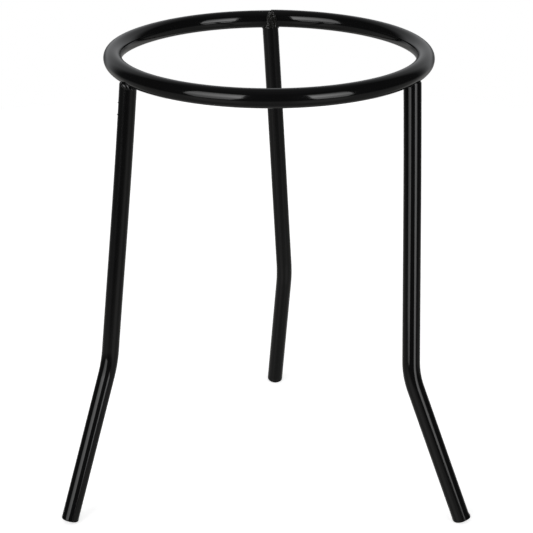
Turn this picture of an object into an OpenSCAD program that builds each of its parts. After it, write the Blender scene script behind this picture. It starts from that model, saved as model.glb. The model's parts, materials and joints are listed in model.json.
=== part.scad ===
// Laboratory tripod stand: a rod ring on three bent rod legs, welded together and enamelled black.
// Millimetres, +Z up. The feet stand on z = 0, and the origin is the middle of the box round the stand.
// Seen from the front, looking along +Y, the legs are the left, the right and the rear one.

/* [Stand] */
// Height of the ring's top above the bench
stand_h = 204; // [150:1:260]
// Height of the legs' bends above the bench, where the axes of the two straight parts cross
knee_h = 69.6; // [50:0.1:90]

/* [Ring] */
// Inside diameter of the ring
ring_inner_d = 127; // [90:1:170]
// Diameter of the ring's rod
ring_rod_d = 7.9; // [6:0.1:10]
// Direction of the seam where the rod's ends meet, seen from above
seam_azimuth = 89.3; // [85:0.1:95]
// Gap between the rod's ends, which the seam weld fills
seam_gap = 1.6; // [0.8:0.1:3]

/* [Legs] */
// Diameter of the legs' rod
leg_rod_d = 7.4; // [5.5:0.1:9]
// Radius of the bend, on the rod's axis
bend_r = 41; // [15:1:50]
// Thinning of the rod where bending has stretched it, on the radius
bend_thinning = 0.03; // [0.03:0.01:0.2]
// Radius of the cut edge at each foot
foot_edge_r = 0.6; // [0.3:0.1:1.2]
// Depth that each leg's end is set into the ring's underside
leg_sink = 1; // [0.5:0.1:1.5]
// Direction of the left, right and rear leg from the ring's axis, seen from above
leg_azimuth = [210.2, 332.5, 89.9]; // [0:0.1:360]
// Lean of each leg's upper part away from the ring's axis
upper_lean = [4.9, 4.1, 1.7]; // [0:0.1:10]
// Sideways lean of each leg's upper part, anticlockwise seen from above
upper_skew = [-2.3, -6.1, -3.3]; // [-8:0.1:8]
// Lean of each leg's lower part away from the ring's axis
lower_lean = [20.7, 19.4, 17.8]; // [12:0.1:25]
// Sideways lean of each leg's lower part, anticlockwise seen from above
lower_skew = [6.4, 5.6, 3.9]; // [-8:0.1:8]

/* [Welds] */
// Reach of the weld metal past the corner that it fills
weld_reach = 0.5; // [0.3:0.05:1.2]
// Crown of the weld metal above a flat fillet
weld_crown = 0.25; // [0.1:0.05:0.9]
// Depth of the ripples, as a share of the crown
ripple_share = 0.5; // [0:0.1:0.8]
// Ripples in the bead round each leg
weld_ripples = 18; // [12:1:24]
// Width of the seam's weld at its top and where it meets the leg's weld
seam_weld_w = [2, 5.4]; // [1.8:0.1:6]
// Height of the seam's weld above the rod
seam_crown = 0.5; // [0.2:0.1:0.8]

/* [Hidden] */
LEFT = 0;
RIGHT = 1;
REAR = 2;
LEGS = [LEFT, RIGHT, REAR];
UP = [0, 0, 1];
$fn = 96;

ring_rod_r = ring_rod_d / 2;
leg_r = leg_rod_d / 2;
// Radius and height of the ring rod's axis
ring_r = ring_inner_d / 2 + ring_rod_r;
ring_z = stand_h - ring_rod_r;
seam_angle = seam_gap / ring_r * 180 / PI;
// Depth of a leg's square end below the ring rod's axis
leg_end_depth = ring_rod_r - leg_sink;
// Length by which the straight parts reach into the bend
bend_lap = 0.1;
// Clearance that keeps the weld metal's flat facets out of the round rods
weld_fit = 0.02;

function unit(v) = v / norm(v);
function mix(a, b, share) = a + share * (b - a);

// Directions at a leg's place on the ring: outwards, and anticlockwise along the ring
function outward(i) = [cos(leg_azimuth[i]), sin(leg_azimuth[i]), 0];
function along(i) = [-sin(leg_azimuth[i]), cos(leg_azimuth[i]), 0];
// A step down a leaning rod that falls by one millimetre
function fall(i, lean, skew) = tan(lean[i]) * outward(i) + tan(skew[i]) * along(i) - UP;
function upper_fall(i) = fall(i, upper_lean, upper_skew);
function lower_fall(i) = fall(i, lower_lean, lower_skew);

// The points that set a leg: its axis meets the ring rod's axis, turns at the knee and ends at the foot
function leg_top(i) = ring_r * outward(i) + ring_z * UP;
function knee(i) = leg_top(i) + (ring_z - knee_h) * upper_fall(i);
function foot_tilt(i) = acos(1 / norm(lower_fall(i)));
// Height of the foot's centre that puts the low side of its rounded edge on the bench
function foot_lift(i) = (leg_r - foot_edge_r) * sin(foot_tilt(i)) + foot_edge_r * (1 - cos(foot_tilt(i)));
function foot(i) = knee(i) + (knee_h - foot_lift(i)) * lower_fall(i);
function bend_angle(i) = acos(unit(upper_fall(i)) * unit(lower_fall(i)));
// Length that the bend takes from each straight part
function bend_take(i) = bend_r * tan(bend_angle(i) / 2);
function bend_start(i) = knee(i) - bend_take(i) * unit(upper_fall(i));

// The box round the stand, whose middle is the origin
ring_outer_r = ring_r + ring_rod_r;
feet_x = [for (i = LEGS) foot(i).x];
feet_y = [for (i = LEGS) foot(i).y];
box_low = [min(min(feet_x) - leg_r, -ring_outer_r), min(min(feet_y) - leg_r, -ring_outer_r), 0];
box_high = [max(max(feet_x) + leg_r, ring_outer_r), max(max(feet_y) + leg_r, ring_outer_r), 0];
ring_axis = -(box_low + box_high) / 2;

// Puts its children at a point, with their +Z along up and their +X as near to front as that allows
module set_on(point, up, front) {
    z = unit(up);
    x = unit(front - (front * z) * z);
    y = cross(z, x);
    multmatrix([[x.x, y.x, z.x, point.x],
                [x.y, y.y, z.y, point.y],
                [x.z, y.z, z.z, point.z]])
        children();
}

// The ring's rod, bent through an angle from a start
module ring_arc(start, angle) {
    translate([0, 0, ring_z])
        rotate([0, 0, start])
            rotate_extrude(angle = angle)
                translate([ring_r, 0])
                    circle(r = ring_rod_r);
}

// The bend between a leg's straight parts, from the origin downwards and towards +X
module leg_bend(angle) {
    translate([bend_r, 0, 0])
        rotate([-90, 0, 180])
            rotate_extrude(angle = angle)
                translate([bend_r, 0])
                    circle(r = leg_r - bend_thinning);
}

// A rod that hangs down from the origin and ends in a square cut with a rounded edge
module foot_rod(length) {
    rotate_extrude()
        difference() {
            translate([0, -length])
                square([leg_r, length + bend_lap]);
            translate([leg_r - foot_edge_r, -length])
                difference() {
                    translate([0, -1])
                        square([foot_edge_r + 1, foot_edge_r + 1]);
                    translate([0, foot_edge_r])
                        circle(r = foot_edge_r);
                }
        }
}

// A whole bent leg, with a square upper end that reaches into the ring
module leg_rod(i) {
    upper = norm(bend_start(i) - leg_top(i)) - leg_end_depth;
    lower = norm(foot(i) - knee(i)) - bend_take(i);
    set_on(bend_start(i), -upper_fall(i), lower_fall(i)) {
        translate([0, 0, -bend_lap])
            cylinder(h = upper + bend_lap, r = leg_r);
        leg_bend(bend_angle(i));
        translate([bend_r, 0, 0])
            rotate([0, -bend_angle(i), 0])
                translate([-bend_r, 0, 0])
                    foot_rod(lower);
    }
}

// A leg, with its upper end shaped to the ring's underside
module leg(i) {
    // Stretch of the ring that the leg's end can touch
    seat_angle = 20;
    difference() {
        leg_rod(i);
        ring_arc(leg_azimuth[i] - seat_angle / 2, seat_angle);
    }
}

// The point of the ring rod's axis that is nearest to a point, and that point's place on the rod's surface
function ring_centre(p) = ring_r * unit([p.x, p.y, 0]) + ring_z * UP;
function on_ring(p) = ring_centre(p) + (ring_rod_r + weld_fit) * unit(p - ring_centre(p));
function inside_ring(p) = norm(p - ring_centre(p)) < ring_rod_r + weld_fit;

// A point near a leg's upper end: turn is measured round the leg from the side away from the ring's axis,
// and spot is [distance from the leg's axis, depth below the ring rod's axis]
function leg_up(i) = -unit(upper_fall(i));
function leg_out(i) = unit(outward(i) - (outward(i) * leg_up(i)) * leg_up(i));
function at_leg(i, turn, spot) = leg_top(i) - spot[1] * leg_up(i)
    + spot[0] * (cos(turn) * leg_out(i) + sin(turn) * cross(leg_up(i), leg_out(i)));

// Where a line from a spot inside the ring to one outside it comes out, by halving
function way_out(i, turn, in, out, steps = 20) =
    let (middle = (in + out) / 2)
    steps == 0 ? middle
    : inside_ring(at_leg(i, turn, middle)) ? way_out(i, turn, middle, out, steps - 1)
    : way_out(i, turn, in, middle, steps - 1);

// Fall of the crown's direction for each millimetre outwards
CROWN_FALL = 0.6;

// The corner between the leg and the ring: on the leg's end where its rim is clear of the ring, else on its wall
wall_r = leg_r + weld_fit;
function weld_corner(i, turn) =
    inside_ring(at_leg(i, turn, [wall_r, leg_end_depth]))
    ? way_out(i, turn, [wall_r, leg_end_depth], [wall_r, 2 * ring_rod_r])
    : way_out(i, turn, [0, leg_end_depth], [wall_r, leg_end_depth]);

// The bead's edge on the ring: beside the leg it reaches along the ring, and where it faces outwards or inwards
// it stays lower, which rounds the leg's corner off under the ring
TOE_REACH = 0.3;
TOE_DROP = 0.8;
function ring_toe(i, turn) =
    let (faces_out = pow(cos(turn), 2),
         reach = weld_reach * mix(1, TOE_REACH, faces_out),
         gap_top = sqrt(max(0, pow(ring_rod_r, 2) - pow(leg_r * cos(turn), 2))))
    on_ring(at_leg(i, turn, [wall_r + reach, min(weld_corner(i, turn)[1], gap_top + TOE_DROP * faces_out)]));

// A section through the bead that fills the corner, as points in order round it: the crown from the leg's edge
// to the ring's, the seat on the ring, and the corner and the leg's rim
function weld_section(i, turn) =
    let (corner = weld_corner(i, turn),
         rim = [wall_r, max(corner[1] + weld_fit, leg_end_depth)],
         a = at_leg(i, turn, rim + [0, weld_reach]),
         b = ring_toe(i, turn),
         c = at_leg(i, turn, corner),
         ripple = 1 - ripple_share * pow(sin(turn * weld_ripples / 2), 2),
         bulge = unit(at_leg(i, turn, [1, CROWN_FALL]) - at_leg(i, turn, [0, 0])))
    concat([for (s = [0 : 0.2 : 1])
                mix(a, b, s) + weld_crown * ripple * 4 * s * (1 - s) * bulge],
           [for (s = [0.2 : 0.2 : 0.8]) on_ring(mix(b, c, s))],
           [c, at_leg(i, turn, rim)]);

// A tube through closed sections that lie in a closed loop, each with its points in the same order
module closed_tube(sections) {
    n = len(sections);
    m = len(sections[0]);
    polyhedron([for (s = sections, p = s) p],
               [for (i = [0 : n - 1], j = [0 : m - 1], half = [0, 1])
                   let (a = i * m + j, b = i * m + (j + 1) % m,
                        c = (i + 1) % n * m + (j + 1) % m, d = (i + 1) % n * m + j)
                   half == 0 ? [a, b, c] : [a, c, d]]);
}

module weld(i) {
    steps = weld_ripples * 4;
    closed_tube([for (k = [0 : steps - 1]) weld_section(i, k * 360 / steps)]);
}

// A point in the ring's rod: shift is along the rod from the seam, turn is round it from its outer side
function at_seam(shift, turn, radius) =
    let (azimuth = seam_azimuth + shift / ring_r * 180 / PI,
         out = [cos(azimuth), sin(azimuth), 0])
    ring_r * out + ring_z * UP + radius * (cos(turn) * out + sin(turn) * UP);

// Height round the rod, as an angle above its axis, at which the seam's weld starts below the top and ends
// just clear of the rear leg's weld
SEAM_TOP = 86;
SEAM_CLEAR = 2;
// Angles over which the weld fades out at its top and at its end
SEAM_FADE = [14, 12];
// Lap of the flush plug past the gap's edges
PLUG_LAP = 0.1;
rear_toe = ring_toe(REAR, 0);
SEAM_END = asin((rear_toe.z - ring_z) / norm(rear_toe - ring_centre(rear_toe))) + SEAM_CLEAR;
// Share of the weld's full height at a turn
function seam_rise(turn) =
    let (rise = asin(sin(turn)))
    max(0, min(1, (SEAM_TOP - rise) / SEAM_FADE[0], (rise - SEAM_END) / SEAM_FADE[1]));
function seam_width(turn) =
    let (rise = asin(sin(turn)))
    seam_rise(turn) == 0 ? seam_gap + 2 * PLUG_LAP
    : mix(seam_weld_w[1], seam_weld_w[0], (rise - SEAM_END) / (SEAM_TOP - SEAM_END));
// The weld has a broad ridge along its right edge, a thin one along its left edge and a low one between them
SEAM_SHAPE = [[-0.5, 0], [-0.38, 0.9], [-0.25, 1], [-0.1, 0.3], [0.03, 0.6],
              [0.17, 0.25], [0.3, 0.8], [0.4, 0.9], [0.5, 0]];
function seam_section(turn) =
    let (rod = ring_rod_r + (seam_rise(turn) > 0 ? weld_fit : 0))
    concat([at_seam(-seam_gap / 2, turn, rod)],
           [for (s = SEAM_SHAPE)
               at_seam(s[0] * seam_width(turn), turn, rod + s[1] * seam_crown * seam_rise(turn))],
           [at_seam(seam_gap / 2, turn, rod)]);

// A plug between the rod's ends and the weld metal over it, as sections round the rod between two centres
module seam_weld() {
    steps = 72;
    sections = [for (k = [0 : steps - 1]) seam_section(k * 360 / steps)];
    m = len(sections[0]);
    centres = [for (side = [-1, 1]) at_seam(side * seam_gap / 2, 0, 0)];
    polyhedron(concat([for (s = sections, p = s) p], centres),
               concat([for (i = [0 : steps - 1], j = [0 : m - 2], half = [0, 1])
                          let (a = i * m + j, b = a + 1,
                               c = (i + 1) % steps * m + j + 1, d = c - 1)
                          half == 0 ? [a, c, b] : [a, d, c]],
                      [for (i = [0 : steps - 1])
                          [i * m, steps * m, (i + 1) % steps * m]],
                      [for (i = [0 : steps - 1])
                          [i * m + m - 1, (i + 1) % steps * m + m - 1, steps * m + 1]]));
}

module ring() {
    color("#121213")
        ring_arc(seam_azimuth + seam_angle / 2, 360 - seam_angle);
}

module leg_left() {
    color("#141415") leg(LEFT);
}

module leg_right() {
    color("#141415") leg(RIGHT);
}

module leg_rear() {
    color("#141415") leg(REAR);
}

module weld_left() {
    color("#1b1a18") weld(LEFT);
}

module weld_right() {
    color("#1b1a18") weld(RIGHT);
}

module weld_rear() {
    color("#1b1a18") weld(REAR);
}

module ring_seam_weld() {
    color("#1b1a18") seam_weld();
}

translate(ring_axis) {
    ring();
    leg_left();
    leg_right();
    leg_rear();
    weld_left();
    weld_right();
    weld_rear();
    ring_seam_weld();
}
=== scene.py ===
# A laboratory tripod stand: a ring of round steel rod on three bent rod legs, welded and enamelled black.
# Metres, +Z up, the feet on z = 0. Seen from the front, looking along +Y, the legs are left, right and rear.
import json
import math
import random

import bmesh
import bpy
from mathutils import Matrix, Vector


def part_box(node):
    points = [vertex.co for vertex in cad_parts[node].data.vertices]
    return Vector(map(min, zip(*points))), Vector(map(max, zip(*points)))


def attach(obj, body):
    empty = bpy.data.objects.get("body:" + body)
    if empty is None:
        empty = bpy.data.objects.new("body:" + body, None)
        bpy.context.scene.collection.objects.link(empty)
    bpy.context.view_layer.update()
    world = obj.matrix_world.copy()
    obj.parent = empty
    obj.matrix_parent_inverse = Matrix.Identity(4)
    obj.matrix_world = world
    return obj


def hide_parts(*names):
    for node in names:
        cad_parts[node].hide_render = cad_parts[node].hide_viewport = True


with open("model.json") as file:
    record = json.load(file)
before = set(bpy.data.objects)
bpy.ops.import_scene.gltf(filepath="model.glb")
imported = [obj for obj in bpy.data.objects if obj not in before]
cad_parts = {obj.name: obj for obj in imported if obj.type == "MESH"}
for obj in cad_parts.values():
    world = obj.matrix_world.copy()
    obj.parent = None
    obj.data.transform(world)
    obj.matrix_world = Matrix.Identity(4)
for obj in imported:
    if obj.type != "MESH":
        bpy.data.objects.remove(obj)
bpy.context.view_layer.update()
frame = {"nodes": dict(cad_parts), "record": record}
mounts = {mount["name"]: mount for mount in frame["record"]["mounts"]}
stand_seat = Vector(mounts["ring_seat"]["pos_m"])
up = Vector((0, 0, 1))

# ---------------------------------------------------------------------------------------------------------
# Camera: a long lens in front of the stand that looks down on it, so that the ring shows as a flat oval. It
# stands a hair to one side, and is level but for a hair.
camera_lens = 115.1
camera_distance = 0.7756
camera_elevation = math.radians(21.66)
camera_azimuth = math.radians(0.09)
camera_roll = math.radians(0.03)
camera_aim = Vector((0.00015, stand_seat.y, 0.10147))

camera_back = Vector((math.sin(camera_azimuth) * math.cos(camera_elevation),
                      -math.cos(camera_azimuth) * math.cos(camera_elevation),
                      math.sin(camera_elevation)))
camera = bpy.data.objects.new("camera", bpy.data.cameras.new("camera"))
camera.data.lens = camera_lens
camera.location = camera_aim + camera_distance * camera_back
camera.rotation_mode = "QUATERNION"
camera.rotation_quaternion = ((-camera_back).to_track_quat("-Z", "Y")
                              @ Matrix.Rotation(camera_roll, 3, "Z").to_quaternion())
bpy.context.scene.collection.objects.link(camera)
bpy.context.scene.camera = camera
bpy.context.scene.view_settings.view_transform = "Standard"


# ---------------------------------------------------------------------------------------------------------
# Studio: a white table top under a white surround, and a dome round the stand, out of sight, that glows for
# reflections only though it is no lamp: a painted reflection of a dark room with the white backdrop behind
# the stand.
def add_node(tree, kind, values=(), **settings):
    """A node of that kind, with settings on the node and values on its inputs by name or number."""
    node = tree.nodes.new(kind)
    for setting, value in settings.items():
        setattr(node, setting, value)
    for socket, value in dict(values).items():
        if isinstance(value, bpy.types.NodeSocket):
            tree.links.new(value, node.inputs[socket])
        else:
            node.inputs[socket].default_value = value
    return node


def calc(tree, operation, first, *others):
    """The result of Math nodes that take in the other numbers or sockets one after the other."""
    for other in others or (0,):
        first = add_node(tree, "ShaderNodeMath", {0: first, 1: other}, operation=operation).outputs[0]
    return first


def ramp(tree, value, start, end, low=0.0, high=1.0, kind="SMOOTHSTEP"):
    """A change from low to high as the value goes from start to end."""
    return add_node(tree, "ShaderNodeMapRange",
                    {"Value": value, "From Min": start, "From Max": end, "To Min": low, "To Max": high},
                    interpolation_type=kind).outputs[0]


def bare_material(name):
    """A new material with only its output node, as (material, tree, output)."""
    material = bpy.data.materials.new(name)
    material.use_nodes = True
    material.node_tree.nodes.clear()
    output = material.node_tree.nodes.new("ShaderNodeOutputMaterial")
    return material, material.node_tree, output


def sees_background(tree):
    """1 for the rays that show the background: the camera's, and those that gloss and glass send on."""
    rays = add_node(tree, "ShaderNodeLightPath").outputs
    return calc(tree, "MAXIMUM", rays["Is Camera Ray"], rays["Is Glossy Ray"], rays["Is Transmission Ray"])


def stage_object(name, shape, material):
    """An object of the studio, which isn't part of the stand, from its bmesh."""
    mesh = bpy.data.meshes.new(name)
    shape.to_mesh(mesh)
    shape.free()
    mesh.materials.append(material)
    prop = bpy.data.objects.new(name, mesh)
    bpy.context.scene.collection.objects.link(prop)
    return prop


white = (1, 1, 1, 1)
surround_light = 0.35
world = bpy.data.worlds.new("surround")
world.use_nodes = True
bpy.context.scene.world = world
world_tree = world.node_tree
backdrop = add_node(world_tree, "ShaderNodeBackground", {"Color": white, "Strength": 1})
ambient = world_tree.nodes["Background"]
ambient.inputs["Color"].default_value = white
ambient.inputs["Strength"].default_value = surround_light
world_mix = add_node(world_tree, "ShaderNodeMixShader",
                     {0: sees_background(world_tree), 1: ambient.outputs[0], 2: backdrop.outputs[0]})
world_tree.links.new(world_mix.outputs[0], world_tree.nodes["World Output"].inputs["Surface"])

table_radius = 0.62
table_colour = (0.9, 0.9, 0.9, 1)
table_glow_level = 0.62
table_white, table_tree, table_output = bare_material("table_white")
table_matt = add_node(table_tree, "ShaderNodeBsdfDiffuse", {"Color": table_colour})
table_glow = add_node(table_tree, "ShaderNodeEmission", {"Color": white, "Strength": table_glow_level})
table_sum = add_node(table_tree, "ShaderNodeAddShader", {0: table_matt.outputs[0], 1: table_glow.outputs[0]})
table_mix = add_node(table_tree, "ShaderNodeMixShader",
                     {0: sees_background(table_tree), 1: table_matt.outputs[0], 2: table_sum.outputs[0]})
table_tree.links.new(table_mix.outputs[0], table_output.inputs["Surface"])
table_shape = bmesh.new()
bmesh.ops.create_circle(table_shape, cap_ends=True, segments=96, radius=table_radius)
table = stage_object("table", table_shape, table_white)
table.visible_glossy = False
table.visible_shadow = False


# The dome: a glowing dome, seen only in reflections, whose glow is painted reflection and nearly black all
# round. Behind the stand it holds a painted reflection of the white backdrop, darker straight behind and low
# down; below it is a little paler, painted light of the table lit under each softbox; and overhead it is
# faintly paler. Its painted tint is cooler above and warmer below. Every angle is in degrees, to either side
# of straight behind the stand or up from the dome's middle.
def fade(angle, start, end, low=0.0, high=1.0):
    """A smooth change of the dome's painted reflection glow from low to high as an angle goes from start to
    end.
    """
    if start > end:
        start, end, low, high = end, start, high, low
    return ramp(reflection_dome_tree, angle, math.radians(start), math.radians(end), low, high)


reflection_dome_radius = 18.0
reflection_dome_height = 0.12
painted_reflection_dark = 0.025
behind_low, behind_level, behind_top = 0.5, 0.47, 0.04
straight_behind_shade = 0.7
below_light = 0.17
below_middle_share = 0.75
lamp_below_light = 0.13
above_light = 0.05
cool = (0.985, 1.0, 1.02, 1)
warm = (1.012, 1.003, 0.98, 1)

painted_reflection, reflection_dome_tree, reflection_dome_output = bare_material("painted_reflection_glow")
reflection_dome_place = add_node(reflection_dome_tree, "ShaderNodeTexCoord").outputs["Object"]
reflection_dome_xyz = add_node(reflection_dome_tree, "ShaderNodeSeparateXYZ", {0: reflection_dome_place}).outputs
aside = calc(reflection_dome_tree, "ABSOLUTE", calc(reflection_dome_tree, "ARCTAN2", reflection_dome_xyz["X"], reflection_dome_xyz["Y"]))
reflection_dome_away = add_node(reflection_dome_tree, "ShaderNodeVectorMath", {0: reflection_dome_place},
                      operation="LENGTH").outputs["Value"]
rise = calc(reflection_dome_tree, "ARCSINE", calc(reflection_dome_tree, "DIVIDE", reflection_dome_xyz["Z"], reflection_dome_away))

# Painted reflection of the white backdrop behind the stand, darker straight behind and low down
painted_backdrop_area = calc(reflection_dome_tree, "MULTIPLY", fade(aside, 36, 62, 1, 0),
                 calc(reflection_dome_tree, "MULTIPLY", fade(rise, -25, 5, behind_low, 1),
                      fade(rise, 5, 68, behind_level, behind_top)))
straight_behind = calc(reflection_dome_tree, "MULTIPLY", fade(aside, 24, 38, straight_behind_shade, 0),
                       fade(rise, -4, 8, 1, 0))
behind = calc(reflection_dome_tree, "MULTIPLY", painted_backdrop_area, calc(reflection_dome_tree, "SUBTRACT", 1.0, straight_behind))
# Painted light below: a paler glow for the table lit under each softbox, in front and to the sides
in_front = fade(aside, 128, 158)
below_aside = calc(reflection_dome_tree, "MULTIPLY", fade(rise, -8, -20, 0, below_light),
                   calc(reflection_dome_tree, "SUBTRACT", 1.0, in_front))
below_in_front = calc(reflection_dome_tree, "MULTIPLY", fade(rise, -17, -26, 0, below_light), in_front)
below = calc(reflection_dome_tree, "MULTIPLY", calc(reflection_dome_tree, "ADD", below_aside, below_in_front),
             fade(rise, -38, -60, 1, below_middle_share))
lamp_below = calc(reflection_dome_tree, "MULTIPLY",
                  calc(reflection_dome_tree, "MULTIPLY", fade(aside, 110, 128), fade(aside, 152, 168, 1, 0)),
                  calc(reflection_dome_tree, "MULTIPLY", fade(rise, -15, -26, 0, lamp_below_light),
                       fade(rise, -45, -62, 1, 0)))
above = fade(rise, 48, 75, 0, above_light)
# The dome's whole glow is painted reflection: dark room, backdrop behind, table light below and a faintly
# paler top, with a painted tint cooler above and warmer below
painted_reflection_light = calc(reflection_dome_tree, "ADD", painted_reflection_dark, behind, below, lamp_below, above)
painted_reflection_tint = add_node(reflection_dome_tree, "ShaderNodeMix", {0: fade(rise, -6, -20), 6: cool, 7: warm},
                      data_type="RGBA").outputs[2]
painted_reflection_emission = add_node(reflection_dome_tree, "ShaderNodeEmission", {"Color": painted_reflection_tint, "Strength": painted_reflection_light})
reflection_dome_tree.links.new(painted_reflection_emission.outputs[0], reflection_dome_output.inputs["Surface"])
# The dome glows though it is no lamp; only reflections see it, not the camera, diffuse light or shadows
dome_shape = bmesh.new()
bmesh.ops.create_uvsphere(dome_shape, u_segments=96, v_segments=64, radius=reflection_dome_radius)
dome = stage_object("painted_reflection_dome", dome_shape, painted_reflection)
dome.location.z = reflection_dome_height
dome.visible_camera = False
dome.visible_diffuse = False
dome.visible_transmission = False
dome.visible_volume_scatter = False
dome.visible_shadow = False

# Two tall softboxes in front of the stand, left and right. Each is brightest at the height of its lamp and
# towards the side nearer the camera.
softboxes = {
    # name: (azimuth from +Y towards +X, distance, width, share of the width at the cut-off lower corners,
    #        lowest edge, height up to which it is even, brightest height, highest edge, radiance,
    #        share of it at the lowest edge, and at the left and right edge)
    "softbox_left": (-141.2, 12.0, 8.88, 0.66, -2.32, 0.12, 4.6, 17.9, 4.3, 0.48, 0.5, 1.0),
    "softbox_right": (137.5, 12.0, 6.43, 0.78, -2.50, 0.12, 2.9, 11.8, 4.7, 0.58, 1.0, 0.55),
}
corner_share = 0.21
corner_soft = 0.04
for name, (azimuth, distance, width, low_width, low, even, middle, high, radiance, foot_share,
           left_share, right_share) in softboxes.items():
    tall = high - low
    lamp = bpy.data.lights.new(name, "AREA")
    lamp.shape = "RECTANGLE"
    lamp.size = width
    lamp.size_y = tall
    lamp.energy = math.pi * width * tall * radiance
    lamp.use_nodes = True
    tree = lamp.node_tree
    on_face = add_node(tree, "ShaderNodeSeparateXYZ",
                       {0: add_node(tree, "ShaderNodeNewGeometry").outputs["Parametric"]}).outputs
    peak = (middle - low) / tall
    up_to_peak = ramp(tree, on_face["Y"], (even - low) / tall, peak, foot_share, 1.0)
    past_peak = ramp(tree, on_face["Y"], peak, 1.0, 1.0, 0.0)
    sideways = ramp(tree, on_face["X"], 0.0, 1.0, left_share, right_share, "LINEAR")
    half_width = ramp(tree, on_face["Y"], 0.0, corner_share, low_width / 2, 0.5 + corner_soft, "LINEAR")
    off_middle = calc(tree, "ABSOLUTE", calc(tree, "SUBTRACT", on_face["X"], 0.5))
    within = ramp(tree, off_middle, calc(tree, "SUBTRACT", half_width, corner_soft), half_width, 1.0, 0.0)
    face_light = calc(tree, "MULTIPLY", up_to_peak, past_peak, within, sideways)
    tree.links.new(face_light, tree.nodes["Emission"].inputs["Strength"])
    softbox = bpy.data.objects.new(name, lamp)
    direction = Vector((math.sin(math.radians(azimuth)), math.cos(math.radians(azimuth)), 0))
    softbox.location = direction * distance + up * (low + high) / 2
    softbox.rotation_mode = "QUATERNION"
    softbox.rotation_quaternion = (-direction).to_track_quat("-Z", "Y")
    bpy.context.scene.collection.objects.link(softbox)


# ---------------------------------------------------------------------------------------------------------
# Black enamel: a stoved gloss enamel over steel. It is nearly black, with a faint orange peel, a slow sag in
# the coat, small differences in gloss, and dust nibs that it flowed over.
def noise(tree, place, scale, detail, roughness=0.5):
    """Soft random grey about 0.5, with about that many spots to the metre."""
    return add_node(tree, "ShaderNodeTexNoise",
                    {"Vector": place, "Scale": scale, "Detail": detail,
                     "Roughness": roughness}).outputs["Fac"]


def enamel(name, base, roughness, peel_height, lump_height):
    """A gloss enamel with its own colour, gloss and surface."""
    shade_scale, peel_scale, lump_scale, nib_scale = 60, 650, 170, 420
    thin_share = 0.72
    glossy_shade, dull_shade = 0.3, 0.7
    glossier, duller = 0.8, 1.25
    nib_core, nib_edge = 0.05, 0.16
    nib_rare, nib_rarest = 0.93, 0.97
    nib_height = 0.00002

    material, tree, output = bare_material(name)
    place = add_node(tree, "ShaderNodeTexCoord").outputs["Object"]
    shade = noise(tree, place, shade_scale, 4, 0.55)
    coat_colour = add_node(tree, "ShaderNodeMix",
                           {0: shade, 6: (*(thin_share * part for part in base), 1), 7: (*base, 1)},
                           data_type="RGBA").outputs[2]
    gloss = ramp(tree, shade, glossy_shade, dull_shade, roughness * glossier, roughness * duller, "LINEAR")
    nibs = add_node(tree, "ShaderNodeTexVoronoi", {"Vector": place, "Scale": nib_scale, "Randomness": 1.0},
                    feature="F1").outputs
    nib_pick = add_node(tree, "ShaderNodeSeparateColor", {0: nibs["Color"]}).outputs[0]
    nib = calc(tree, "MULTIPLY", ramp(tree, nibs["Distance"], nib_core, nib_edge, 1.0, 0.0),
               ramp(tree, nib_pick, nib_rare, nib_rarest, kind="LINEAR"))
    height = calc(tree, "ADD",
                  calc(tree, "MULTIPLY", noise(tree, place, peel_scale, 2), peel_height),
                  calc(tree, "MULTIPLY", noise(tree, place, lump_scale, 2), lump_height),
                  calc(tree, "MULTIPLY", nib, nib_height))
    bump = add_node(tree, "ShaderNodeBump", {"Height": height, "Strength": 1.0, "Distance": 1.0})
    shader = add_node(tree, "ShaderNodeBsdfPrincipled",
                      {"Base Color": coat_colour, "Roughness": gloss, "Normal": bump.outputs[0],
                       "Specular IOR Level": 0.5})
    tree.links.new(shader.outputs[0], output.inputs["Surface"])
    return material


black_enamel = enamel("black_enamel", (0.0036, 0.0036, 0.0037), 0.085, 0.000002, 0.000006)


# ---------------------------------------------------------------------------------------------------------
# Ring: one length of round bar bent into a circle until its ends meet at the back, where they are welded.
# Its ends are sprung a little out of line, so that the right end stands higher at the seam than the left,
# and it bulges a little on the left. A thin coat of enamel lies on it.
def new_tree(name, inputs):
    """A Geometry Nodes tree with those inputs after its geometry, as (tree, group input, group output)."""
    tree = bpy.data.node_groups.new(name, "GeometryNodeTree")
    tree.interface.new_socket("Geometry", in_out="INPUT", socket_type="NodeSocketGeometry")
    tree.interface.new_socket("Geometry", in_out="OUTPUT", socket_type="NodeSocketGeometry")
    for label, kind in inputs.items():
        tree.interface.new_socket(label, in_out="INPUT", socket_type="NodeSocket" + kind)
    return tree, tree.nodes.new("NodeGroupInput").outputs, tree.nodes.new("NodeGroupOutput").inputs


def end_tree(tree, group_in, group_out, geometry):
    """The tree's last nodes, which give real meshes and their enamel."""
    whole = add_node(tree, "GeometryNodeRealizeInstances", {"Geometry": geometry})
    enamelled = add_node(tree, "GeometryNodeSetMaterial",
                         {"Geometry": whole.outputs[0], "Material": group_in["Enamel"]})
    tree.links.new(enamelled.outputs[0], group_out["Geometry"])


def bake(name, mesh, tree, values, finish=()):
    """The plain mesh object that the tree, and any finishing modifiers, make of a mesh."""
    rough = bpy.data.objects.new(name + "_rough", mesh)
    bpy.context.scene.collection.objects.link(rough)
    modifier = rough.modifiers.new("shape", "NODES")
    modifier.node_group = tree
    sockets = {item.name: item.identifier for item in tree.interface.items_tree
               if item.item_type == "SOCKET" and item.in_out == "INPUT"}
    for label, value in values.items():
        modifier[sockets[label]] = value
    for kind, settings in finish:
        extra = rough.modifiers.new(kind.lower(), kind)
        for setting, value in settings.items():
            setattr(extra, setting, value)
    evaluated = rough.evaluated_get(bpy.context.evaluated_depsgraph_get())
    baked = bpy.data.meshes.new_from_object(evaluated)
    baked.name = name
    bpy.data.objects.remove(rough)
    piece = bpy.data.objects.new(name, baked)
    bpy.context.scene.collection.objects.link(piece)
    return piece


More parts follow.
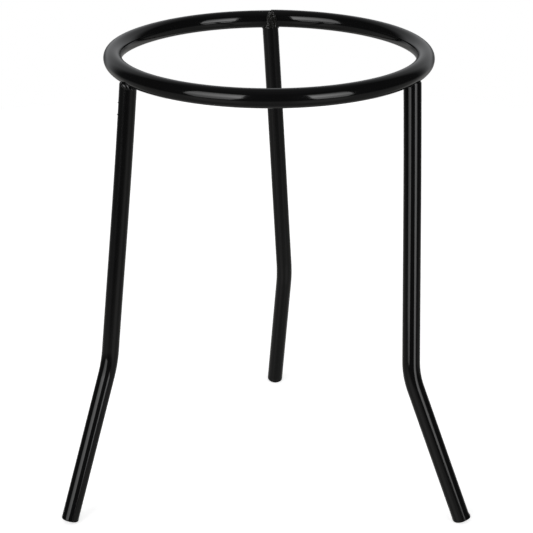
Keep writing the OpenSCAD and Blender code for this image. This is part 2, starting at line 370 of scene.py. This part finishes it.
def finish_piece(piece, node):
    """The piece is smooth shaded and hung on the root body, and stands in for its CAD node, if it has one,
    which is hidden.
    """
    for face in piece.data.polygons:
        face.use_smooth = True
    if node:
        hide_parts(node)
    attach(piece, "root")


def place_of(tree):
    """Where each point of the mesh or curve is."""
    return add_node(tree, "GeometryNodeInputPosition").outputs[0]


def facing_of(tree):
    """The way in which each point of the mesh faces."""
    return add_node(tree, "GeometryNodeInputNormal").outputs[0]


def vector_calc(tree, operation, first, second):
    """The result of a Vector Math node on two vectors or sockets."""
    return add_node(tree, "ShaderNodeVectorMath", {0: first, 1: second}, operation=operation).outputs[0]


def scaled(tree, vector, amount):
    """The vector times an amount."""
    return add_node(tree, "ShaderNodeVectorMath", {0: vector, "Scale": amount}, operation="SCALE").outputs[0]


def moved(tree, geometry, by):
    """The mesh or curve with each of its points moved by a vector."""
    return add_node(tree, "GeometryNodeSetPosition", {"Geometry": geometry, "Offset": by}).outputs[0]


def rod_along(tree, group_in, curve):
    """A round bar along a curve, with a slow waviness on its skin."""
    wave_scale = 90
    facets_round = 56
    section = add_node(tree, "GeometryNodeCurvePrimitiveCircle",
                       {"Resolution": facets_round, "Radius": group_in["Rod radius"]}, mode="RADIUS")
    swept = add_node(tree, "GeometryNodeCurveToMesh",
                     {"Curve": curve, "Profile Curve": section.outputs[0], "Fill Caps": True})
    wave = calc(tree, "MULTIPLY", calc(tree, "SUBTRACT", noise(tree, place_of(tree), wave_scale, 2), 0.5),
                group_in["Waviness"])
    return moved(tree, swept.outputs[0], scaled(tree, facing_of(tree), wave))


ring_low, ring_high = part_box("ring")
ring_rod_r = (ring_high.z - ring_low.z) / 2
ring_r = (ring_high.x - ring_low.x) / 2 - ring_rod_r
ring_centre = Vector((stand_seat.x, stand_seat.y, ring_high.z - ring_rod_r))
seam_azimuth = math.radians(89.55)
seam_gap = 0.0002
seam_right_high = 0.00034
seam_left_low = -0.00003
spring_length = 8.0
bulge_at = math.radians(182)
bulge_spread = math.radians(26)
bulge_out = 0.00050
bulge_up = 0.00030
bend_tight = 0.00008
ring_coat = 0.00009
waviness = 0.00003

ring_tree, ring_in, ring_out = new_tree("bent_ring", {
    "Rod radius": "Float", "Ring radius": "Float", "Centre": "Vector", "Start": "Float", "Sweep": "Float",
    "Left low": "Float", "Right high": "Float", "Bulge at": "Float", "Bulge spread": "Float",
    "Bulge out": "Float", "Bulge up": "Float", "Waviness": "Float", "Enamel": "Material"})
arc = add_node(ring_tree, "GeometryNodeCurveArc",
               {"Resolution": 640, "Radius": ring_in["Ring radius"], "Start Angle": ring_in["Start"],
                "Sweep Angle": ring_in["Sweep"]}, mode="RADIUS")
along_rod = add_node(ring_tree, "GeometryNodeSplineParameter").outputs["Factor"]


def spring(share, amount):
    """The height by which a rod end is out of line, which dies away along the rod."""
    fall_off = calc(ring_tree, "EXPONENT", calc(ring_tree, "MULTIPLY", share, -spring_length))
    return calc(ring_tree, "MULTIPLY", fall_off, amount)


sprung = calc(ring_tree, "SUBTRACT",
              spring(calc(ring_tree, "SUBTRACT", 1.0, along_rod), ring_in["Right high"]),
              spring(along_rod, ring_in["Left low"]))
off_bulge = calc(ring_tree, "DIVIDE", calc(ring_tree, "SUBTRACT", along_rod, ring_in["Bulge at"]),
                 ring_in["Bulge spread"])
bulge = calc(ring_tree, "EXPONENT", calc(ring_tree, "MULTIPLY", off_bulge, off_bulge, -1.0))
bulge_outwards = scaled(ring_tree, vector_calc(ring_tree, "NORMALIZE", place_of(ring_tree), (0, 0, 0)),
                        calc(ring_tree, "MULTIPLY", bulge, ring_in["Bulge out"]))
lift = add_node(ring_tree, "ShaderNodeCombineXYZ",
                {"Z": calc(ring_tree, "ADD", sprung,
                           calc(ring_tree, "MULTIPLY", bulge, ring_in["Bulge up"]))}).outputs[0]
warp = vector_calc(ring_tree, "ADD", bulge_outwards, lift)
ring_curve = moved(ring_tree, arc.outputs[0], vector_calc(ring_tree, "ADD", ring_in["Centre"], warp))
end_tree(ring_tree, ring_in, ring_out, rod_along(ring_tree, ring_in, ring_curve))

seam_angle = seam_gap / ring_r
ring = bake("ring", bpy.data.meshes.new("ring_start"), ring_tree, {
    "Rod radius": ring_rod_r + ring_coat, "Ring radius": ring_r - bend_tight, "Centre": ring_centre,
    "Start": seam_azimuth + seam_angle / 2, "Sweep": math.tau - seam_angle,
    "Left low": seam_left_low, "Right high": seam_right_high,
    "Bulge at": (bulge_at - seam_azimuth) / math.tau, "Bulge spread": bulge_spread / math.tau,
    "Bulge out": bulge_out, "Bulge up": bulge_up, "Waviness": waviness, "Enamel": black_enamel})
finish_piece(ring, "ring")

# ---------------------------------------------------------------------------------------------------------
# Legs: round bar a little thinner than the ring's, bent once in a hand bender and cut square at the foot, so
# no two are quite alike: knee and upper part are a little out of true. The upper end butts under the ring.
# The foot's edge is only broken, the enamel gathers in a bead on it, and one foot keeps a burr.
leg_rod_r = mounts["foot_left"]["dims"]["r_mm"] / 1000
knee_height = 0.0696
leg_sink = 0.001
foot_edge = 0.0006
foot_edge_angle = math.radians(60)
foot_bead = 0.00008
foot_bead_low, foot_bead_high = 0.0003, 0.0025
burr_low, burr_high = 0.0018, 0.0042
burr_starts, burr_full = 0.55, 0.92
bow_peak = 6.75  # brings the bow's share, t * t * (1 - t), to 1 at its highest
leg_step = 0.0008
legs = {
    # name: (azimuth on the ring, lean away from the ring's axis and sideways lean in degrees, radius of the
    #        bend, shift of the head to the right, shift of the knee to the back, bow of the upper part to the
    #        right and to the back, thickness of the coat at the head and at the foot, burr left at the foot)
    "leg_left": (210.2, 4.9, -2.3, 0.043, -0.00026, -0.0010, (0.00027, 0.0005), 0.0, 0.00009, 0.0),
    "leg_right": (332.5, 4.1, -6.1, 0.038, -0.00025, -0.0014, (0.00015, 0.0), 0.00008, 0.00022, 0.0006),
    "leg_rear": (89.9, 1.7, -3.3, 0.041, 0.0, 0.0010, (0.00006, 0.0004), 0.0, 0.00012, 0.0),
}
knee_shift_way = Vector((0, 1, -0.45))

leg_tree, leg_in, leg_out = new_tree("bent_leg", {
    "Rod radius": "Float", "Bend radius": "Float", "Step": "Float", "Waviness": "Float",
    "Knee": "Float", "Head": "Float", "Bow": "Vector", "Head coat": "Float", "Foot coat": "Float",
    "Bead": "Float", "Burr": "Float", "Enamel": "Material"})
leg_path = add_node(leg_tree, "GeometryNodeMeshToCurve", {"Mesh": leg_in["Geometry"]})
leg_bend = add_node(leg_tree, "GeometryNodeFilletCurve",
                    {"Curve": leg_path.outputs[0], "Count": 24, "Radius": leg_in["Bend radius"]}, mode="POLY")
leg_even = add_node(leg_tree, "GeometryNodeResampleCurve",
                    {"Curve": leg_bend.outputs[0], "Length": leg_in["Step"]}, mode="LENGTH")
path_height = add_node(leg_tree, "ShaderNodeSeparateXYZ", {0: place_of(leg_tree)}).outputs["Z"]
up_share = ramp(leg_tree, path_height, leg_in["Knee"], leg_in["Head"], kind="LINEAR")
bow_share = calc(leg_tree, "MULTIPLY", up_share, up_share, bow_peak,
                 calc(leg_tree, "SUBTRACT", 1.0, up_share))
leg_bowed = moved(leg_tree, leg_even.outputs[0], scaled(leg_tree, leg_in["Bow"], bow_share))
leg_rod = rod_along(leg_tree, leg_in, leg_bowed)
leg_height = add_node(leg_tree, "ShaderNodeSeparateXYZ", {0: place_of(leg_tree)}).outputs["Z"]
coat = ramp(leg_tree, leg_height, 0.0, ring_centre.z, leg_in["Foot coat"], leg_in["Head coat"], "LINEAR")
bead = ramp(leg_tree, leg_height, foot_bead_low, foot_bead_high, leg_in["Bead"], 0.0)
leg_facing = facing_of(leg_tree)
to_right = add_node(leg_tree, "ShaderNodeSeparateXYZ", {0: leg_facing}).outputs["X"]
burr = calc(leg_tree, "MULTIPLY", ramp(leg_tree, leg_height, burr_low, burr_high, leg_in["Burr"], 0.0),
            ramp(leg_tree, to_right, burr_starts, burr_full))
skin = scaled(leg_tree, leg_facing, calc(leg_tree, "ADD", coat, bead, burr))
level_skin = vector_calc(leg_tree, "MULTIPLY", skin, (1, 1, 0))
end_tree(leg_tree, leg_in, leg_out, moved(leg_tree, leg_rod, level_skin))

leg_axes = {}
for name, (azimuth, lean, skew, bend_radius, head_shift, knee_shift, bow, head_coat, foot_coat,
           foot_burr) in legs.items():
    outward = Vector((math.cos(math.radians(azimuth)), math.sin(math.radians(azimuth)), 0))
    sideways = Vector((-outward.y, outward.x, 0))
    top = ring_centre + ring_r * outward
    upper = math.tan(math.radians(lean)) * outward + math.tan(math.radians(skew)) * sideways - up
    knee = top + (ring_centre.z - knee_height) * upper
    lower = Vector(mounts[name.replace("leg", "foot")]["axis"])
    tilt = math.acos(-lower.z)
    foot_lift = (leg_rod_r - foot_edge) * math.sin(tilt) + foot_edge * (1 - math.cos(tilt))
    foot = knee + lower * ((knee.z - foot_lift) / -lower.z)
    head = top + upper.normalized() * (ring_rod_r - leg_sink) + Vector((head_shift, 0, 0))
    bent_knee = knee + knee_shift * knee_shift_way
    leg_axes[name] = (head, (bent_knee - head).normalized(), outward)
    path = bpy.data.meshes.new(name + "_path")
    path.from_pydata([head, bent_knee, foot], [(0, 1), (1, 2)], [])
    leg = bake(name, path, leg_tree,
               {"Rod radius": leg_rod_r, "Bend radius": bend_radius, "Step": leg_step, "Waviness": waviness,
                "Knee": bent_knee.z, "Head": head.z, "Bow": (*bow, 0), "Head coat": head_coat,
                "Foot coat": foot_coat, "Bead": foot_bead, "Burr": foot_burr, "Enamel": black_enamel},
               finish=[("BEVEL", {"width": foot_edge, "segments": 4, "limit_method": "ANGLE",
                                  "angle_limit": foot_edge_angle})])
    finish_piece(leg, name)

# ---------------------------------------------------------------------------------------------------------
# Leg welds: a bead of weld metal round the head of each leg, under the same enamel. It is a little rough. On
# the front legs it fills less on the side that faces away from the ring's axis, and the rear one is lean.
enamelled_weld = enamel("enamelled_weld", (0.0050, 0.0048, 0.0040), 0.14, 0.00001, 0.00006)
weld_roughness = 0.00025
weld_pit_scale = 600
sunk_from, sunk_full = 0.0005, 0.0030
leg_welds = {
    # name: (how far the bead is drawn in all round, and how far it is sunk on the outside)
    "weld_left": (0.0, 0.0005),
    "weld_right": (0.0, 0.0006),
    "weld_rear": (0.00022, 0.0),
}

weld_tree, weld_in, weld_out = new_tree("weld_bead", {
    "Roughness": "Float", "Drawn in": "Float", "Centre": "Vector", "Outward": "Vector",
    "Sunk outside": "Float", "Enamel": "Material"})
merged = add_node(weld_tree, "GeometryNodeMergeByDistance",
                  {"Geometry": weld_in["Geometry"], "Distance": 1e-6})
smooth = add_node(weld_tree, "GeometryNodeSubdivisionSurface", {"Mesh": merged.outputs[0], "Level": 2})
pits = noise(weld_tree, place_of(weld_tree), weld_pit_scale, 3, 0.6)
pit_height = calc(weld_tree, "MULTIPLY", calc(weld_tree, "SUBTRACT", pits, 0.5), weld_in["Roughness"])
pit_move = scaled(weld_tree, facing_of(weld_tree),
                  calc(weld_tree, "SUBTRACT", pit_height, weld_in["Drawn in"]))
from_centre = vector_calc(weld_tree, "SUBTRACT", place_of(weld_tree), weld_in["Centre"])
out_reach = add_node(weld_tree, "ShaderNodeVectorMath", {0: from_centre, 1: weld_in["Outward"]},
                     operation="DOT_PRODUCT").outputs["Value"]
sunk = ramp(weld_tree, out_reach, sunk_from, sunk_full, 0.0, weld_in["Sunk outside"])
sink_move = scaled(weld_tree, weld_in["Outward"], calc(weld_tree, "MULTIPLY", sunk, -1.0))
end_tree(weld_tree, weld_in, weld_out,
         moved(weld_tree, smooth.outputs[0], vector_calc(weld_tree, "ADD", pit_move, sink_move)))

for node, (drawn_in, sunk_outside) in leg_welds.items():
    bead_mesh = frame["nodes"][node].data.copy()
    bead_mesh.materials.clear()
    head, _, outward = leg_axes[node.replace("weld", "leg")]
    weld = bake(node + "_bead", bead_mesh, weld_tree,
                {"Roughness": weld_roughness, "Drawn in": drawn_in, "Centre": head, "Outward": outward,
                 "Sunk outside": sunk_outside, "Enamel": enamelled_weld})
    finish_piece(weld, node)

# ---------------------------------------------------------------------------------------------------------
# Seam weld: one bead over the joint of the ring's ends, run from the crown down the inside. It starts narrow,
# widens like a fan and ends at the rear leg's weld, with a ridge along each edge and lower ones between.
bead_azimuth = math.radians(89.7)
bead_start = math.radians(93)
bead_end = math.radians(-36)
bead_widest = math.radians(22)
bead_taper = 0.96
bead_lean = -0.0006
bead_outline = [
    # across the bead, to the right as seen from the front, and up from the rod's skin, in mm
    (1.35, -0.35), (1.25, 0.2), (0.95, 0.62), (0.68, 0.1), (0.4, -0.12), (0.12, 0.32), (-0.12, 0.45),
    (-0.42, 0.05), (-0.7, -0.1), (-0.95, 0.4), (-1.2, 0.55), (-1.5, 0.1), (-1.75, 0.02), (-2.0, 0.6),
    (-2.4, 0.9), (-2.8, 0.7), (-3.15, 0.15), (-3.35, -0.4), (-2.8, -1.0), (0.9, -1.0)]
ripples = 31.0
ripple_height = 0.00016
ripple_drift = 7.0
ripple_drift_scale = 420
bead_roughness = 0.0006
bead_pit_scale = 800
relief_rise = 0.0004

seam_tree, seam_in, seam_out = new_tree("seam_bead", {
    "Centre": "Vector", "Azimuth": "Float", "Rod radius": "Float", "Start": "Float", "End": "Float",
    "Widest": "Float", "Lean": "Float", "Ripples": "Float", "Ripple height": "Float", "Roughness": "Float",
    "Enamel": "Material"})
outline_curve = add_node(seam_tree, "GeometryNodeMeshToCurve", {"Mesh": seam_in["Geometry"]})
outline_round = add_node(seam_tree, "GeometryNodeCurveSplineType", {"Curve": outline_curve.outputs[0]},
                         spline_type="CATMULL_ROM")
outline_even = add_node(seam_tree, "GeometryNodeResampleCurve",
                        {"Curve": outline_round.outputs[0], "Count": 120}, mode="COUNT")

# The run of the bead round the rod, from its start to its end
run = add_node(seam_tree, "GeometryNodeCurvePrimitiveLine", {"Start": (0, 0, 0), "End": (1, 0, 0)})
run_even = add_node(seam_tree, "GeometryNodeResampleCurve", {"Curve": run.outputs[0], "Count": 190},
                    mode="COUNT")
run_share = add_node(seam_tree, "GeometryNodeSplineParameter").outputs["Factor"]
run_angle = ramp(seam_tree, run_share, 0.0, 1.0, seam_in["Start"], seam_in["End"], "LINEAR")
azimuth_cos = calc(seam_tree, "COSINE", seam_in["Azimuth"])
azimuth_sin = calc(seam_tree, "SINE", seam_in["Azimuth"])
inward = calc(seam_tree, "MULTIPLY", calc(seam_tree, "COSINE", run_angle), seam_in["Rod radius"], -1.0)
run_place = add_node(seam_tree, "ShaderNodeCombineXYZ",
                     {"X": calc(seam_tree, "MULTIPLY", azimuth_cos, inward),
                      "Y": calc(seam_tree, "MULTIPLY", azimuth_sin, inward),
                      "Z": calc(seam_tree, "MULTIPLY", calc(seam_tree, "SINE", run_angle),
                                seam_in["Rod radius"])}).outputs[0]
across_run = add_node(seam_tree, "ShaderNodeCombineXYZ",
                      {"X": azimuth_sin, "Y": calc(seam_tree, "MULTIPLY", azimuth_cos, -1.0)}).outputs[0]
leaning = scaled(seam_tree, across_run, calc(seam_tree, "MULTIPLY", run_share, seam_in["Lean"]))
leaning_place = vector_calc(seam_tree, "ADD", run_place, leaning)
run_set = add_node(seam_tree, "GeometryNodeSetPosition",
                   {"Geometry": run_even.outputs[0],
                    "Position": vector_calc(seam_tree, "ADD", leaning_place, seam_in["Centre"])})
past_widest = calc(seam_tree, "DIVIDE",
                   calc(seam_tree, "MAXIMUM", calc(seam_tree, "SUBTRACT", run_angle, seam_in["Widest"]), 0.0),
                   calc(seam_tree, "SUBTRACT", seam_in["Start"], seam_in["Widest"]))
fan = calc(seam_tree, "SUBTRACT", 1.0, calc(seam_tree, "MULTIPLY", past_widest, bead_taper))
seam_swept = add_node(seam_tree, "GeometryNodeCurveToMesh",
                      {"Curve": run_set.outputs[0], "Profile Curve": outline_even.outputs[0], "Scale": fan,
                       "Fill Caps": True})

# Ripples and pits on what stands proud of the rod, moved straight out from the rod's axis
from_joint = vector_calc(seam_tree, "SUBTRACT", place_of(seam_tree), seam_in["Centre"])
off_across = add_node(seam_tree, "ShaderNodeVectorMath", {0: from_joint, 1: across_run},
                      operation="DOT_PRODUCT").outputs["Value"]
on_section = vector_calc(seam_tree, "SUBTRACT", from_joint, scaled(seam_tree, across_run, off_across))
off_axis = add_node(seam_tree, "ShaderNodeVectorMath", {0: on_section}, operation="LENGTH").outputs["Value"]
section_z = add_node(seam_tree, "ShaderNodeSeparateXYZ", {0: on_section}).outputs["Z"]
round_rod = calc(seam_tree, "ARCSINE", calc(seam_tree, "DIVIDE", section_z, off_axis))
drift = calc(seam_tree, "MULTIPLY", noise(seam_tree, from_joint, ripple_drift_scale, 1), ripple_drift)
ripple_turn = calc(seam_tree, "ADD", calc(seam_tree, "MULTIPLY", round_rod, seam_in["Ripples"]), drift)
ripple = calc(seam_tree, "MULTIPLY", calc(seam_tree, "SINE", ripple_turn), seam_in["Ripple height"])
bead_pits = noise(seam_tree, from_joint, bead_pit_scale, 3, 0.6)
bead_pit_height = calc(seam_tree, "MULTIPLY", calc(seam_tree, "SUBTRACT", bead_pits, 0.5),
                       seam_in["Roughness"])
proud = ramp(seam_tree, off_axis, seam_in["Rod radius"],
             calc(seam_tree, "ADD", seam_in["Rod radius"], relief_rise))
relief = calc(seam_tree, "MULTIPLY", proud, calc(seam_tree, "ADD", ripple, bead_pit_height))
away_from_axis = vector_calc(seam_tree, "NORMALIZE", on_section, (0, 0, 0))
end_tree(seam_tree, seam_in, seam_out,
         moved(seam_tree, seam_swept.outputs[0], scaled(seam_tree, away_from_axis, relief)))

outline_mesh = bpy.data.meshes.new("bead_outline")
outline_mesh.from_pydata([(across_mm / 1000, up_mm / 1000, 0) for across_mm, up_mm in bead_outline],
                         [(k, (k + 1) % len(bead_outline)) for k in range(len(bead_outline))], [])
bead_place = ring_centre + ring_r * Vector((math.cos(bead_azimuth), math.sin(bead_azimuth), 0))
seam = bake("seam_bead", outline_mesh, seam_tree, {
    "Centre": bead_place, "Azimuth": bead_azimuth, "Rod radius": ring_rod_r + ring_coat,
    "Start": bead_start, "End": bead_end, "Widest": bead_widest, "Lean": bead_lean,
    "Ripples": ripples, "Ripple height": ripple_height, "Roughness": bead_roughness,
    "Enamel": enamelled_weld})
finish_piece(seam, "ring_seam_weld")

# ---------------------------------------------------------------------------------------------------------
# Spatter: drops of weld metal that froze on the bars near the welds and were enamelled over. The two largest,
# flat and side by side, are where the left leg's weld was started.
drop_smallest, leg_drop_largest, ring_drop_largest = 0.00010, 0.00024, 0.00022
leg_drops, ring_drops = 8, 9
leg_drop_nearest, leg_drop_spread = 0.0035, 0.011
ring_drop_nearest, ring_drop_farthest = 0.055, 0.14
ring_drop_lowest, ring_drop_highest = -0.9, 1.7
drop_roughness = 0.00004
drop_noise_scale = 900

spatter_tree, spatter_in, spatter_out = new_tree("weld_spatter", {"Roughness": "Float", "Enamel": "Material"})
drop_size = add_node(spatter_tree, "GeometryNodeInputNamedAttribute", {"Name": "drop_size"},
                     data_type="FLOAT_VECTOR")
drop_turn = add_node(spatter_tree, "GeometryNodeInputNamedAttribute", {"Name": "drop_turn"},
                     data_type="FLOAT_VECTOR")
drop = add_node(spatter_tree, "GeometryNodeMeshIcoSphere", {"Radius": 1.0, "Subdivisions": 3})
drops = add_node(spatter_tree, "GeometryNodeInstanceOnPoints",
                 {"Points": spatter_in["Geometry"], "Instance": drop.outputs[0],
                  "Rotation": drop_turn.outputs[0], "Scale": drop_size.outputs[0]})
drops_real = add_node(spatter_tree, "GeometryNodeRealizeInstances", {"Geometry": drops.outputs[0]})
drop_noise = noise(spatter_tree, place_of(spatter_tree), drop_noise_scale, 1)
drop_dent = calc(spatter_tree, "MULTIPLY", calc(spatter_tree, "SUBTRACT", drop_noise, 0.5),
                 spatter_in["Roughness"])
end_tree(spatter_tree, spatter_in, spatter_out,
         moved(spatter_tree, drops_real.outputs[0], scaled(spatter_tree, facing_of(spatter_tree), drop_dent)))

rng = random.Random(11)
drop_places = []
for head, down, outward in leg_axes.values():
    across = down.cross(outward).normalized()
    facing = across.cross(down).normalized()
    for _ in range(leg_drops):
        turn = rng.uniform(0, math.tau)
        size = rng.uniform(drop_smallest, leg_drop_largest)
        along = leg_drop_nearest + leg_drop_spread * rng.random() ** 2
        skin_point = head + along * down + leg_rod_r * (math.cos(turn) * facing + math.sin(turn) * across)
        drop_places.append((skin_point, (size, size, size), (0, 0, 0)))
for _ in range(ring_drops):
    place = bead_azimuth + rng.choice((-1, 1)) * rng.uniform(ring_drop_nearest, ring_drop_farthest)
    turn = rng.uniform(ring_drop_lowest, ring_drop_highest)
    size = rng.uniform(drop_smallest, ring_drop_largest)
    radial_out = Vector((math.cos(place), math.sin(place), 0))
    skin_point = (ring_centre + (ring_r - ring_rod_r * math.cos(turn)) * radial_out
                  + ring_rod_r * math.sin(turn) * up)
    drop_places.append((skin_point, (size, size, size), (0, 0, 0)))

start_drops = [
    # (azimuth on the leg from +Y towards +X, in degrees, and how far down the leg it lies)
    (-166, 0.0007),
    (-188, 0.0009),
]
start_drop_size = (0.0023, 0.0010, 0.0011)
start_drop_sunk = 0.0001
start_faces = math.radians(-160.5)
start_slant = math.radians(-34)
start_turn = (Matrix.Rotation(math.pi - start_faces, 3, "Z")
              @ Matrix.Rotation(start_slant, 3, "Y").inverted()).to_euler()
left_head, left_down, _ = leg_axes["leg_left"]
for azimuth, start_down in start_drops:
    start_side = Vector((math.sin(math.radians(azimuth)), math.cos(math.radians(azimuth)), 0))
    skin_point = left_head + start_down * left_down + (leg_rod_r - start_drop_sunk) * start_side
    drop_places.append((skin_point, start_drop_size, tuple(start_turn)))

spatter_mesh = bpy.data.meshes.new("drop_places")
spatter_mesh.from_pydata([place for place, _, _ in drop_places], [], [])
spatter_mesh.attributes.new("drop_size", "FLOAT_VECTOR", "POINT").data.foreach_set(
    "vector", [part for _, size, _ in drop_places for part in size])
spatter_mesh.attributes.new("drop_turn", "FLOAT_VECTOR", "POINT").data.foreach_set(
    "vector", [part for _, _, turn in drop_places for part in turn])
spatter = bake("weld_spatter", spatter_mesh, spatter_tree,
               {"Roughness": drop_roughness, "Enamel": black_enamel})
finish_piece(spatter, None)
